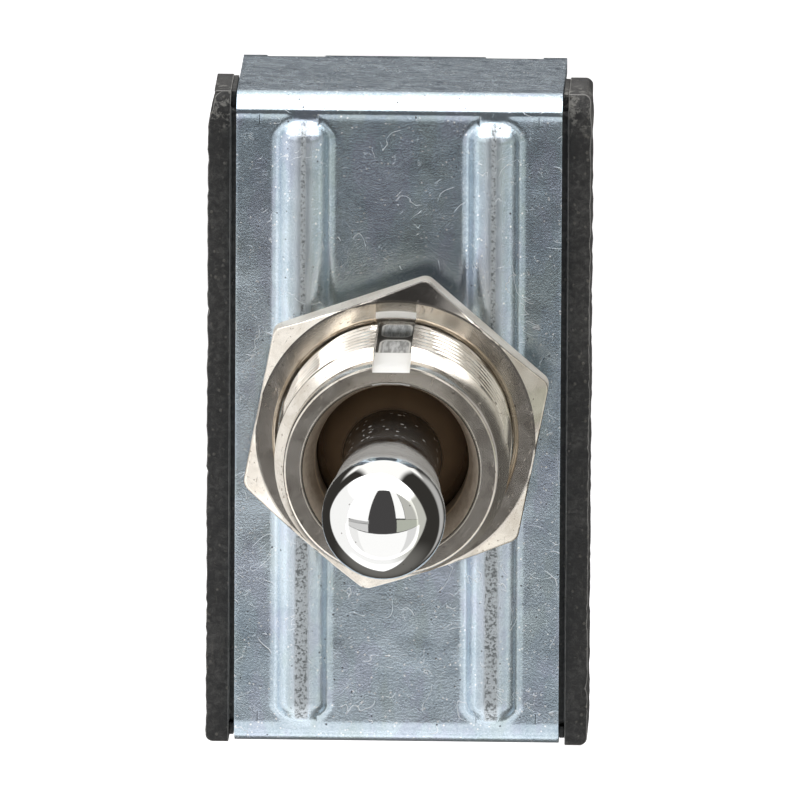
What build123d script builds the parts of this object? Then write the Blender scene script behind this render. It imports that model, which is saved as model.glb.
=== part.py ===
from build123d import *
import os
from math import acos, asin, cos, degrees, radians, sin, sqrt

# A panel-mounted toggle switch: two poles, double throw, centre off, six screw terminals.
# Frame: the bushing's axis is Z, the base of the terminal barriers is Z = 0, the keyway faces +Y.

os.makedirs("parts", exist_ok=True)

# ---------------------------------------------------------------- clearances
running_gap = 0.05  # radial, where one piece turns or slides in another
fit_gap = 0.02  # radial, round pins and rivets that stay put
seat_gap = 0.05  # between moulded seats and what lies on them
side_gap = 0.3  # free play beside moulded walls
tip_gap = 0.12  # plunger tip to its cradle

# ---------------------------------------------------------------- stack of the case, from the base up
barrier_drop = 3.5  # terminal barriers below the floor
floor_thickness = 3.1
cavity_depth = 16.6
sheet = 0.8  # steel strip of the bracket

floor_bottom = barrier_drop
floor_top = floor_bottom + floor_thickness
case_top = floor_top + cavity_depth
face_z = case_top + sheet  # outer face of the bracket

# ---------------------------------------------------------------- bracket
bracket_length = 33.9
bracket_width = 16.6
ear_depth = 10.4
bend_radius = 1.25
rib_spacing = 9.7
rib_width = 2.7
rib_height = 0.9
rib_length = 32.0
lip_spacing = 11.2  # the crimped lips under the case, two on each ear
lip_width = 3.0
lip_reach = 2.0
lip_bend = 0.4
hole_gap = 0.1  # bracket hole round the bushing

ear_end = face_z - ear_depth
ear_inside = bracket_length / 2 - sheet

# ---------------------------------------------------------------- lever
throw = 14.0  # degrees to each side of the centre
pivot_height = 5.2  # above the bracket's face
ball_radius = 4.25
neck_radius = 2.5
waist_radius = 2.33
waist_height = 11.0
bat_radius = 3.05
bat_height = 23.2  # centre of the rounded end
tail_radius = 1.8
pin_radius = 0.8
pin_length = 10.4
neck_fillet = 0.5
waist_sweep = 20.0  # blends the neck into the bat
tail_chamfer = 0.3
pin_chamfer = 0.15

pivot_z = face_z + pivot_height

# ---------------------------------------------------------------- bushing and nut
thread_radius = 5.953  # 15/32 in thread
thread_top = 9.7
thread_pitch = 25.4 / 32
groove_width = 0.45  # a ring groove stands for every second turn of the thread
groove_depth = 0.28
pilot_radius = 5.43
rim_radius = 5.35
rim_height = 11.9
mouth_radius = 4.49
lip_radius = 3.9
lip_height = 9.3
foot_radius = 7.3
foot_thickness = 1.0
keyway_width = 1.95
keyway_floor = 5.08  # from the axis
relief_width = 0.6
relief_depth = 0.35
slot_wall = 0.65  # left outside the pin's slots

bore_radius = ball_radius + running_gap
bushing_bottom = case_top - foot_thickness

nut_across_flats = 14.29  # 9/16 in
nut_thickness = 2.0
nut_height = 1.8  # its underside above the bracket's face
nut_turn = 19.1  # degrees, a corner from +X
nut_chamfer_radius = 7.1
nut_mouth = 0.2

# ---------------------------------------------------------------- mechanism
body_width = 16.5
body_length = 28.0
wall_side = 1.55
wall_end = 2.4
strip = 0.8  # brass strip of the terminals
fulcrum_rise = 1.58  # the arms' fulcrum above the terminals' feet
arm_web = 0.5  # left above the fulcrum
post_radius = 0.45  # rounded top of the fulcrum
plunger_radius = 1.45
plunger_length = 6.5
spring_wire = 0.16  # radius of the wire
spring_turns = 6
plunger_wall = 0.4
plunger_tip_length = 2.4  # solid end of the plunger
carrier_depth = 9.4  # pivot to the carrier's top
carrier_height = 5.8
carrier_roof = 0.7
boss_wall = 0.6
hub_radius = 2.8
carrier_play = 0.4  # to the case's side walls
carrier_fillet = 0.4
socket_floor = 1.4

cavity_width = body_width - 2 * wall_side
cavity_length = body_length - 2 * wall_end
foot_top = floor_top + strip
arm_pivot_z = foot_top + fulcrum_rise
fulcrum_radius = post_radius + running_gap
tip_z = arm_pivot_z + fulcrum_radius + arm_web + tip_gap
plunger_reach = pivot_z - tip_z
plunger_top = tip_z + plunger_length
boss_radius = plunger_radius + running_gap + boss_wall
pole_offset = cavity_width / 2 - carrier_play - boss_radius  # each pole from the middle
carrier_top = pivot_z - carrier_depth
carrier_bottom = carrier_top - carrier_height
spring_bore = plunger_radius - plunger_wall
tail_end = carrier_bottom + socket_floor + seat_gap

# ---------------------------------------------------------------- see-saw contact arms
arm_tilt = 8.0  # degrees at full throw
arm_width = 3.4
arm_thickness = 0.8
arm_half = 8.2
cradle_margin = 4.0  # degrees of cradle past the plunger's last place
contact_radius = 1.1
contact_height = 1.2
contact_dome = 3.0
contact_gap = 0.1  # left between closed contacts
rivet_radius = 0.6
rivet_head = 0.9
rivet_head_thickness = 0.3

# The plunger's round tip swings about the lever's pivot while the arm tilts about its fulcrum.
# The cradle is the arc through the tip's middle and last places, as the arm sees them.
tip_centre_reach = plunger_reach - plunger_radius
centre_rise = pivot_z - tip_centre_reach - arm_pivot_z
side_y = tip_centre_reach * sin(radians(throw))
side_z = pivot_z - tip_centre_reach * cos(radians(throw)) - arm_pivot_z
last_y = side_y * cos(radians(arm_tilt)) - side_z * sin(radians(arm_tilt))
last_z = side_y * sin(radians(arm_tilt)) + side_z * cos(radians(arm_tilt))
path_radius = (last_y**2 + (last_z - centre_rise) ** 2) / (2 * (last_z - centre_rise))
cradle_radius = path_radius + plunger_radius + tip_gap
cradle_centre = centre_rise + path_radius  # above the arm's pivot
cradle_angle = degrees(asin(last_y / path_radius)) + cradle_margin
wing_top = cradle_centre - cradle_radius * cos(radians(cradle_angle))
wing_start = cradle_radius * sin(radians(cradle_angle))
under_radius = cradle_radius + arm_thickness
under_angle = degrees(acos((cradle_centre - wing_top + arm_thickness) / under_radius))
wing_under = wing_top - arm_thickness
contact_y = (wing_start + arm_half) / 2 + fit_gap
dome_centre = wing_under - contact_height + contact_dome

# ---------------------------------------------------------------- terminals and screws
foot_width = 4.2
plate_width = 6.4
plate_gap = 0.4  # beside the middle barrier
common_plate_length = 7.2
end_plate_length = 8.0
post_width = 3.0
post_base = 0.9  # half of it
barrier = 1.2
fixed_radius = 1.2
fixed_chamfer = 0.15
foot_margin = 0.2
screw_radius = 1.75
screw_head_radius = 3.0
screw_head_height = 1.8
screw_slot_width = 0.8
screw_slot_depth = 0.8
screw_reach = 2.0  # past the terminal plate
screw_chamfer = 0.3
pocket_gap = 0.25

plate_bottom = floor_bottom - strip
plate_inner = barrier / 2 + plate_gap
screw_x = plate_inner + plate_width / 2
common_leg_x = barrier / 2 + side_gap
end_leg_y = common_plate_length / 2 + 2 * side_gap + barrier
end_screw_y = end_leg_y + (strip + end_plate_length) / 2
tilt = radians(arm_tilt)
fixed_y = contact_y * cos(tilt) + dome_centre * sin(tilt)
closed_low = dome_centre * cos(tilt) - contact_y * sin(tilt) - contact_dome
fixed_top = arm_pivot_z + closed_low - contact_gap

# ---------------------------------------------------------------- case and insulator
flange_width = 19.6
flange_depth = 5.4  # below the bracket's face
rail_drop = 0.5  # top of the side rails below the bracket's face
corner_radius = 0.4
body_corner = 1.2
boss_width = 16.0
septum = 1.0
septum_clearance = 0.8  # below the carrier's sweep
insulator_thickness = 0.4
insulator_width = 15.0
insulator_length = 27.2

flange_bottom = face_z - flange_depth
rail_top = face_z - rail_drop
lip_top = ear_end + sheet
carrier_sweep = sqrt((carrier_depth + carrier_height) ** 2 + hub_radius**2)
septum_top = pivot_z - carrier_sweep - septum_clearance

sides = (("left", -1), ("right", 1))


def finish(piece, name):
    """Label a finished piece and write it under its own name."""
    piece.part.label = name
    export_step(piece.part, f"parts/{name}.step")


# ================================================================ bracket
# Half-round rib: a capsule whose axis lies below the face, hollowed by a smaller one.
rib_radius = ((rib_width / 2) ** 2 + rib_height**2) / (2 * rib_height)
rib_axis_z = face_z + rib_height - rib_radius
rib_straight = rib_length - rib_width
hollow_radius = rib_radius - sheet


def capsule(radius, mode):
    """A round bar along Y with ball ends, at each rib."""
    with Locations((-rib_spacing / 2, 0, rib_axis_z), (rib_spacing / 2, 0, rib_axis_z)):
        Cylinder(radius, rib_straight, rotation=(90, 0, 0), mode=mode)
        with Locations((0, -rib_straight / 2, 0), (0, rib_straight / 2, 0)):
            Sphere(radius, mode=mode)


with BuildPart() as rib_form:
    capsule(rib_radius, Mode.ADD)
    split(bisect_by=Plane.XY.offset(face_z - sheet / 2), keep=Keep.TOP)

with BuildPart() as bracket:
    # the strip, bent down at both ends
    with BuildSketch(Plane.YZ) as strip_section:
        with Locations((0, ear_end)):
            Rectangle(bracket_length, ear_depth, align=(Align.CENTER, Align.MIN))
        fillet(strip_section.vertices().group_by(Axis.Y)[-1], bend_radius)
        with Locations((0, ear_end)):
            Rectangle(
                2 * ear_inside,
                ear_depth - sheet,
                align=(Align.CENTER, Align.MIN),
                mode=Mode.SUBTRACT,
            )
        fillet(strip_section.vertices().group_by(Axis.Y)[-2], bend_radius - sheet)
    extrude(amount=bracket_width / 2, both=True)
    # pressed ribs
    add(rib_form.part)
    capsule(hollow_radius, Mode.SUBTRACT)
    # hole for the bushing
    with Locations((0, 0, face_z)):
        Cylinder(thread_radius + hole_gap, 4 * (sheet + rib_height), mode=Mode.SUBTRACT)
    # lips crimped in under the case, sharply bent
    with Locations((0, 0, ear_end)):
        with GridLocations(lip_spacing, bracket_length - lip_bend, 2, 2):
            Box(
                lip_width,
                lip_bend,
                lip_bend,
                align=(Align.CENTER, Align.CENTER, Align.MIN),
                mode=Mode.SUBTRACT,
            )
        with GridLocations(lip_spacing, bracket_length - 2 * lip_bend, 2, 2):
            with Locations((0, 0, lip_bend)):
                Cylinder(lip_bend, lip_width, rotation=(0, 90, 0))
        with GridLocations(lip_spacing, bracket_length - lip_bend - lip_reach, 2, 2):
            Box(
                lip_width,
                lip_reach - lip_bend,
                sheet,
                align=(Align.CENTER, Align.CENTER, Align.MIN),
            )
finish(bracket, "bracket")

# ================================================================ bushing
relief_top = nut_height + nut_thickness - nut_mouth / 2
seat_angle = degrees(acos(lip_radius / bore_radius))
slot_reach = thread_radius - slot_wall
groove_spacing = 2 * thread_pitch
groove_count = int((thread_top - relief_top) / groove_spacing + 0.5)
groove_places = [
    (thread_radius, face_z + thread_top - (turn + 0.5) * groove_spacing) for turn in range(groove_count)
]

with BuildPart() as bushing:
    with BuildSketch(Plane.XZ) as bushing_section:
        with BuildLine():
            seat = CenterArc((0, pivot_z), bore_radius, 0, seat_angle)
            Polyline(
                seat @ 0,
                (bore_radius, bushing_bottom),
                (foot_radius, bushing_bottom),
                (foot_radius, case_top),
                (thread_radius, case_top),
                (thread_radius, face_z + relief_top - relief_width),
                (thread_radius - relief_depth, face_z + relief_top - relief_width),
                (thread_radius - relief_depth, face_z + relief_top),
                (thread_radius, face_z + relief_top),
                (thread_radius, face_z + thread_top),
                (pilot_radius, face_z + thread_top + thread_radius - pilot_radius),
                (pilot_radius, face_z + rim_height - pilot_radius + rim_radius),
                (rim_radius, face_z + rim_height),
                (mouth_radius, face_z + rim_height),
                (lip_radius, face_z + lip_height),
                seat @ 1,
            )
        make_face()
    revolve(axis=Axis.Z)
    with BuildSketch(Plane.XZ):
        with Locations(*groove_places):
            Polygon(
                (-groove_depth, 0),
                (groove_depth, -groove_width),
                (groove_depth, groove_width),
                align=None,
            )
    revolve(axis=Axis.Z, mode=Mode.SUBTRACT)
    # keyway for a tabbed washer or a keyed panel hole
    with Locations((0, keyway_floor, face_z)):
        Box(
            keyway_width,
            thread_radius,
            rim_height * 2,
            align=(Align.CENTER, Align.MIN, Align.MIN),
            mode=Mode.SUBTRACT,
        )
    # two inside slots, open below, that hold the pivot pin's ends
    with BuildSketch(Plane.YZ) as pin_slot:
        with Locations((0, pivot_z)):
            Circle(pin_radius + running_gap)
            Rectangle(
                2 * (pin_radius + running_gap),
                2 * (pivot_z - bushing_bottom),
                align=(Align.CENTER, Align.MAX),
            )
    extrude(amount=slot_reach, both=True, mode=Mode.SUBTRACT)
finish(bushing, "bushing")

# ================================================================ mounting nut
nut_bore = thread_radius + running_gap
corner_reach = nut_across_flats / sqrt(3)
chamfer_drop = (corner_reach - nut_chamfer_radius) / sqrt(3)
nut_bottom = face_z + nut_height
nut_top = nut_bottom + nut_thickness

with BuildPart() as mounting_nut:
    with BuildSketch(Plane.XY.offset(nut_bottom)):
        RegularPolygon(nut_across_flats / 2, 6, major_radius=False, rotation=nut_turn)
    extrude(amount=nut_thickness)
    # turned profile: chamfered corners outside, countersunk bore inside
    with BuildSketch(Plane.XZ):
        with BuildLine():
            Polyline(
                (nut_bore + nut_mouth, nut_bottom),
                (nut_chamfer_radius, nut_bottom),
                (corner_reach, nut_bottom + chamfer_drop),
                (corner_reach, nut_top - chamfer_drop),
                (nut_chamfer_radius, nut_top),
                (nut_bore + nut_mouth, nut_top),
                (nut_bore, nut_top - nut_mouth),
                (nut_bore, nut_bottom + nut_mouth),
                close=True,
            )
        make_face()
    revolve(axis=Axis.Z, mode=Mode.INTERSECT)
finish(mounting_nut, "mounting_nut")

# ================================================================ toggle lever
neck_angle = degrees(acos(neck_radius / ball_radius))
tail_angle = degrees(acos(tail_radius / ball_radius))
neck_z = pivot_z + sqrt(ball_radius**2 - neck_radius**2)

with BuildPart() as toggle_lever:
    with BuildSketch(Plane.XZ):
        with BuildLine():
            ball = CenterArc((0, pivot_z), ball_radius, -tail_angle, tail_angle + neck_angle)
            bat_end = CenterArc((0, face_z + bat_height), bat_radius, 0, 90)
            Polyline(ball @ 1, (waist_radius, face_z + waist_height), bat_end @ 0)
            Polyline(bat_end @ 1, (0, tail_end), (tail_radius, tail_end), ball @ 0)
        make_face()
    revolve(axis=Axis.Z)
    fillet(toggle_lever.edges().filter_by_position(Axis.Z, neck_z - 0.01, neck_z + 0.01), neck_fillet)
    fillet(
        toggle_lever.edges().filter_by_position(
            Axis.Z, face_z + waist_height - 0.01, face_z + waist_height + 0.01
        ),
        waist_sweep,
    )
    chamfer(toggle_lever.faces().sort_by(Axis.Z)[0].edges(), tail_chamfer)
    with Locations((0, 0, pivot_z)):
        Cylinder(pin_radius + fit_gap, 3 * ball_radius, rotation=(0, 90, 0), mode=Mode.SUBTRACT)
finish(toggle_lever, "toggle_lever")

# ================================================================ pivot pin
with BuildPart() as pivot_pin:
    with Locations((0, 0, pivot_z)):
        Cylinder(pin_radius, pin_length, rotation=(0, 90, 0))
    ends = pivot_pin.edges().group_by(Axis.X)
    chamfer(ends[0] + ends[-1], pin_chamfer)
finish(pivot_pin, "pivot_pin")

# ================================================================ carrier
# Moulded block pressed on the lever's tail, with a boss for each plunger.
with BuildPart() as carrier:
    with BuildSketch(Plane.XY.offset(carrier_bottom)):
        SlotCenterToCenter(2 * pole_offset, 2 * boss_radius)
        Circle(hub_radius)
    extrude(amount=carrier_height)
    fillet(carrier.faces().sort_by(Axis.Z)[-1].edges(), carrier_fillet)
    with Locations((0, 0, carrier_bottom + socket_floor)):
        Cylinder(
            tail_radius + fit_gap,
            carrier_height,
            align=(Align.CENTER, Align.CENTER, Align.MIN),
            mode=Mode.SUBTRACT,
        )
    with Locations((-pole_offset, 0, carrier_bottom), (pole_offset, 0, carrier_bottom)):
        Cylinder(
            plunger_radius + running_gap,
            carrier_height - carrier_roof,
            align=(Align.CENTER, Align.CENTER, Align.MIN),
            mode=Mode.SUBTRACT,
        )
finish(carrier, "carrier")

# ================================================================ plungers and their springs
spring_floor = tip_z + plunger_tip_length
spring_roof = carrier_top - carrier_roof
coil_radius = spring_bore - running_gap - spring_wire
coil_height = spring_roof - spring_floor - 2 * (spring_wire + seat_gap)

for side, way in sides:
    pole_x = way * pole_offset

    with BuildPart() as plunger:
        with Locations((pole_x, 0, tip_z + plunger_radius)):
            Cylinder(
                plunger_radius,
                plunger_length - plunger_radius,
                align=(Align.CENTER, Align.CENTER, Align.MIN),
            )
            Sphere(plunger_radius)
        with Locations((pole_x, 0, spring_floor)):
            Cylinder(
                spring_bore,
                plunger_length,
                align=(Align.CENTER, Align.CENTER, Align.MIN),
                mode=Mode.SUBTRACT,
            )
    finish(plunger, f"plunger_{side}")

    coil_start = (pole_x, 0, spring_floor + spring_wire + seat_gap)
    with BuildPart() as plunger_spring:
        with BuildLine() as coil:
            Helix(coil_height / spring_turns, coil_height, coil_radius, center=coil_start)
        with BuildSketch(Plane(origin=coil.line @ 0, z_dir=coil.line % 0)):
            Circle(spring_wire)
        sweep(is_frenet=True)
    finish(plunger_spring, f"plunger_spring_{side}")

# ================================================================ contact arms and their rivets
# One rivet, seen from the arm's pivot: a domed contact below the wing, a formed head above it.
dome_edge = dome_centre - sqrt(contact_dome**2 - contact_radius**2)

with BuildPart() as contact_rivet:
    with BuildSketch(Plane.XZ):
        with BuildLine():
            face = RadiusArc((0, dome_centre - contact_dome), (contact_radius, dome_edge), -contact_dome)
            Polyline(
                face @ 1,
                (contact_radius, wing_under),
                (rivet_radius, wing_under),
                (rivet_radius, wing_top),
                (rivet_head, wing_top),
                (rivet_head, wing_top + rivet_head_thickness),
                (0, wing_top + rivet_head_thickness),
                face @ 0,
            )
        make_face()
    revolve(axis=Axis.Z)

for side, way in sides:
    pole_x = way * pole_offset

    with BuildPart() as contact_arm:
        with BuildSketch(Plane.YZ.offset(pole_x - arm_width / 2)):
            with BuildLine():
                centre = (0, arm_pivot_z + cradle_centre)
                cradle = CenterArc(centre, cradle_radius, -90 - cradle_angle, 2 * cradle_angle)
                under = CenterArc(centre, under_radius, -90 - under_angle, 2 * under_angle)
                for end, reach in ((0, -arm_half), (1, arm_half)):
                    Polyline(
                        cradle @ end,
                        (reach, arm_pivot_z + wing_top),
                        (reach, arm_pivot_z + wing_under),
                        under @ end,
                    )
            make_face()
        extrude(amount=arm_width)
        fillet(contact_arm.edges().filter_by(Axis.Z), arm_width / 3)
        # groove that rocks on the fulcrum
        with Locations((pole_x, 0, arm_pivot_z)):
            Cylinder(fulcrum_radius, 2 * arm_width, rotation=(0, 90, 0), mode=Mode.SUBTRACT)
        with Locations((pole_x, -contact_y, arm_pivot_z), (pole_x, contact_y, arm_pivot_z)):
            Cylinder(rivet_radius + fit_gap, 4 * wing_top, mode=Mode.SUBTRACT)
    finish(contact_arm, f"contact_arm_{side}")

    with BuildPart() as moving_contacts:
        with Locations((pole_x, -contact_y, arm_pivot_z), (pole_x, contact_y, arm_pivot_z)):
            add(contact_rivet.part)
    finish(moving_contacts, f"moving_contacts_{side}")


# ================================================================ terminals
def slab(x, y, z):
    """A block between the lower and upper corner given for each axis."""
    with Locations((x[0], y[0], z[0])):
        Box(x[1] - x[0], y[1] - y[0], z[1] - z[0], align=(Align.MIN, Align.MIN, Align.MIN))


def ordered(way, near, far):
    """The two ends of a stretch measured from the middle, on the side that way gives."""
    return tuple(sorted((way * near, way * far)))


for side, way in sides:
    pole_x = way * pole_offset
    plate_x = ordered(way, plate_inner, plate_inner + plate_width)
    foot_x = (pole_x - foot_width / 2, pole_x + foot_width / 2)

    # the common terminal: its leg runs down beside the middle wall, its foot carries the fulcrum
    with BuildPart() as common_terminal:
        half_foot = foot_width / 2
        slab(
            ordered(way, common_leg_x, common_leg_x + strip),
            (-half_foot, half_foot),
            (plate_bottom, foot_top),
        )
        slab(
            ordered(way, common_leg_x, pole_offset + foot_width / 2),
            (-half_foot, half_foot),
            (floor_top, foot_top),
        )
        slab(
            ordered(way, common_leg_x, plate_inner + plate_width),
            (-common_plate_length / 2, common_plate_length / 2),
            (plate_bottom, floor_bottom),
        )
        with BuildSketch(Plane.YZ.offset(pole_x - post_width / 2)):
            with BuildLine():
                knife = CenterArc((0, arm_pivot_z), post_radius, 0, 180)
                Polyline(knife @ 1, (-post_base, floor_top), (post_base, floor_top), knife @ 0)
            make_face()
        extrude(amount=post_width)
        with Locations((way * screw_x, 0, plate_bottom)):
            Cylinder(screw_radius + running_gap, 2 * strip, mode=Mode.SUBTRACT)
    finish(common_terminal, f"common_terminal_{side}")

    for end, along in (("front", -1), ("back", 1)):
        with BuildPart() as end_terminal:
            slab(foot_x, ordered(along, end_leg_y, end_leg_y + strip), (plate_bottom, foot_top))
            slab(
                foot_x,
                ordered(along, end_leg_y, fixed_y + fixed_radius + foot_margin),
                (floor_top, foot_top),
            )
            slab(
                plate_x,
                ordered(along, end_leg_y, end_leg_y + end_plate_length),
                (plate_bottom, floor_bottom),
            )
            with Locations((way * screw_x, along * end_screw_y, plate_bottom)):
                Cylinder(screw_radius + running_gap, 2 * strip, mode=Mode.SUBTRACT)
        finish(end_terminal, f"end_terminal_{side}_{end}")

# ================================================================ fixed contacts
with BuildPart() as fixed_contacts:
    with Locations((0, 0, foot_top)):
        with GridLocations(2 * pole_offset, 2 * fixed_y, 2, 2):
            Cylinder(
                fixed_radius,
                fixed_top - foot_top,
                align=(Align.CENTER, Align.CENTER, Align.MIN),
            )
    chamfer(fixed_contacts.edges().group_by(Axis.Z)[-1], fixed_chamfer)
finish(fixed_contacts, "fixed_contacts")

# ================================================================ terminal screws
screw_tip = floor_bottom + screw_reach
head_bottom = plate_bottom - screw_head_height

with BuildPart() as screw:
    with Locations((0, 0, head_bottom)):
        Cylinder(
            screw_head_radius,
            screw_head_height,
            align=(Align.CENTER, Align.CENTER, Align.MIN),
        )
        fillet(screw.edges().group_by(Axis.Z)[0], screw_head_height / 2)
        Cylinder(screw_radius, screw_tip - head_bottom, align=(Align.CENTER, Align.CENTER, Align.MIN))
        chamfer(screw.edges().group_by(Axis.Z)[-1], screw_chamfer)
        Box(
            2 * screw_head_radius,
            screw_slot_width,
            screw_slot_depth,
            align=(Align.CENTER, Align.CENTER, Align.MIN),
            mode=Mode.SUBTRACT,
        )

with BuildPart() as terminal_screws:
    with GridLocations(2 * screw_x, end_screw_y, 2, 3):
        add(screw.part)
finish(terminal_screws, "terminal_screws")

# ================================================================ case
notch_width = bracket_width + 2 * side_gap
notch_y = ear_inside - seat_gap
up = (Align.CENTER, Align.CENTER, Align.MIN)
down = (Align.CENTER, Align.CENTER, Align.MAX)

with BuildPart() as case:
    # body, then the wider flange that the bracket straddles
    with Locations((0, 0, floor_bottom)):
        Box(body_width, body_length, flange_bottom - floor_bottom, align=up)
    fillet(case.edges().filter_by(Axis.Z), body_corner)
    with Locations((0, 0, lip_top + seat_gap)):
        Box(boss_width, 2 * notch_y, flange_bottom - lip_top - seat_gap, align=up)
    with Locations((0, 0, flange_bottom)):
        Box(flange_width, bracket_length, rail_top - flange_bottom, align=up)
    fillet(
        case.edges().filter_by(Axis.Z).group_by(Axis.X)[0]
        + case.edges().filter_by(Axis.Z).group_by(Axis.X)[-1],
        corner_radius,
    )
    # notches for the ears and the recess between the rails for the bracket
    with Locations((0, notch_y, floor_bottom), (0, -notch_y - bracket_length, floor_bottom)):
        Box(
            notch_width,
            bracket_length,
            face_z,
            align=(Align.CENTER, Align.MIN, Align.MIN),
            mode=Mode.SUBTRACT,
        )
    with Locations((0, 0, case_top)):
        Box(notch_width, 2 * bracket_length, sheet, align=up, mode=Mode.SUBTRACT)
        # cavity, insulator seat and room for the bushing's foot
        Box(cavity_width, cavity_length, cavity_depth, align=down, mode=Mode.SUBTRACT)
        Box(
            insulator_width + side_gap,
            insulator_length + side_gap,
            insulator_thickness,
            align=down,
            mode=Mode.SUBTRACT,
        )
        Cylinder(
            foot_radius + side_gap / 2,
            foot_thickness + seat_gap,
            align=down,
            mode=Mode.SUBTRACT,
        )
    # the middle wall between the poles, and the barriers between the terminals below
    with Locations((0, 0, floor_top)):
        Box(septum, cavity_length, septum_top - floor_top, align=up)
    with Locations((0, 0, floor_bottom)):
        Box(barrier, body_length, barrier_drop, align=down)
        with GridLocations(1, common_plate_length + 2 * side_gap + barrier, 1, 2):
            Box(body_width, barrier, barrier_drop, align=down)
    # slots for the terminals' legs
    slot_width = strip + 2 * running_gap
    slot_length = foot_width + 2 * running_gap
    with Locations((0, 0, floor_bottom)):
        with GridLocations(2 * common_leg_x + strip, 1, 2, 1):
            Box(slot_width, slot_length, floor_thickness, align=up, mode=Mode.SUBTRACT)
        with GridLocations(2 * pole_offset, 2 * end_leg_y + strip, 2, 2):
            Box(slot_length, slot_width, floor_thickness, align=up, mode=Mode.SUBTRACT)
        # blind pockets over the screws
        with GridLocations(2 * screw_x, end_screw_y, 2, 3):
            Cylinder(
                screw_radius + pocket_gap,
                screw_reach + side_gap,
                align=up,
                mode=Mode.SUBTRACT,
            )
    # rounded to lie inside the bracket's bends
    fillet(
        case.edges()
        .filter_by(Axis.X)
        .filter_by_position(Axis.Z, case_top - 0.01, case_top + 0.01)
        .filter_by(lambda edge: abs(abs(edge.center().Y) - notch_y) < 0.01),
        bend_radius - sheet + seat_gap,
    )
finish(case, "case")

# ================================================================ insulator plate
with BuildPart() as insulator_plate:
    with BuildSketch(Plane.XY.offset(case_top - insulator_thickness)):
        Rectangle(insulator_width, insulator_length)
        Circle(foot_radius + running_gap, mode=Mode.SUBTRACT)
    extrude(amount=insulator_thickness)
finish(insulator_plate, "insulator_plate")
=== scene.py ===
from contextlib import contextmanager
from math import acos, atan2, ceil, copysign, cos, exp, hypot, pi, radians, sin, sqrt, tan

import bmesh
import bpy
from mathutils import Matrix, Vector, noise


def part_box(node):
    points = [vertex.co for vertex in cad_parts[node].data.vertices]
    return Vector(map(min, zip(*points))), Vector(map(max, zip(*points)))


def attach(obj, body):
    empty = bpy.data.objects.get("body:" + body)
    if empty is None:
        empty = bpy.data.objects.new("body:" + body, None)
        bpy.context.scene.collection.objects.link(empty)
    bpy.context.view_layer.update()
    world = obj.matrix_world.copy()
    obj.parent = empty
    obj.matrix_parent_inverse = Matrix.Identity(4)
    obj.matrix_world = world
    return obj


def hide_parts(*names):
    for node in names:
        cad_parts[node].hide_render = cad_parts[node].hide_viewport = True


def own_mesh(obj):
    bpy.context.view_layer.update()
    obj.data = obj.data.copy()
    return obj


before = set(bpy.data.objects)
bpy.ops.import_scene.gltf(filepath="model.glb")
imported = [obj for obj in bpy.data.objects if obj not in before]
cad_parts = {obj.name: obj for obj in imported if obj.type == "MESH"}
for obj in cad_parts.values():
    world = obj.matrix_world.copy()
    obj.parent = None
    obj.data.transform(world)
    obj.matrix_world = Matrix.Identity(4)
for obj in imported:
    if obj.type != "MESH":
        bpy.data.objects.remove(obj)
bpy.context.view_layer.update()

# ======== bracket
# One strip of mild steel, 0.8 mm thick, blanked, embossed with two stiffening ribs, pierced for the
# bushing and bent down at both ends, where its lips are crimped under the case. Zinc plated with a
# blue passivate after blanking, so faint die scratches and a mottle of crystals show in the zinc.

MM = 0.001
face = 24.0  # the strip's outer face, above the foot of the barriers
strip_width = 16.6
strip_length = 33.9
strip_thickness = 0.8
ear_end = 13.6
bend_radius = 1.25
set_bend = ((40, 0.45), (65, 2.6), (90, 0.45))  # the back bend: degrees turned by, and radius
rib_x = 4.85
rib_radius = 1.4625
rib_height = 0.9
rib_half_length = 15.9
rib_fillet, rib_end_fillet = 0.7, 0.25
rib_end_run = 1.24
rib_end_fullness = 2.5  # 2 would draw the ends to a point
rib_end_radius = 0.5  # the ends drop in a tight curve, then a straight ramp
rib_end_ramp = radians(41)
bore_in_strip = 6.05
lip_x = 5.6
lip_width = 3.0
lip_bend = 0.3
lip_reach = 2.0
crease_height, crease_width = 0.05, 0.25
crease_shift = 0.15  # past the start of the back bend
touch = 0.01  # how near a place still counts as there

flat_half = strip_length / 2 - bend_radius
bend_run = bend_radius * pi / 2
ear_run = face - bend_radius - ear_end


def fill(tree, node, inputs):
    """Gives a node's inputs, known by name or number, their values or links."""
    for key, value in inputs.items():
        if isinstance(key, int):
            socket = node.inputs[key]
        else:
            socket = next(s for s in node.inputs if s.name == key and s.enabled)
        value = getattr(value, "socket", value)
        if isinstance(value, bpy.types.NodeSocket):
            tree.links.new(value, socket)
        else:
            socket.default_value = value


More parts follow.
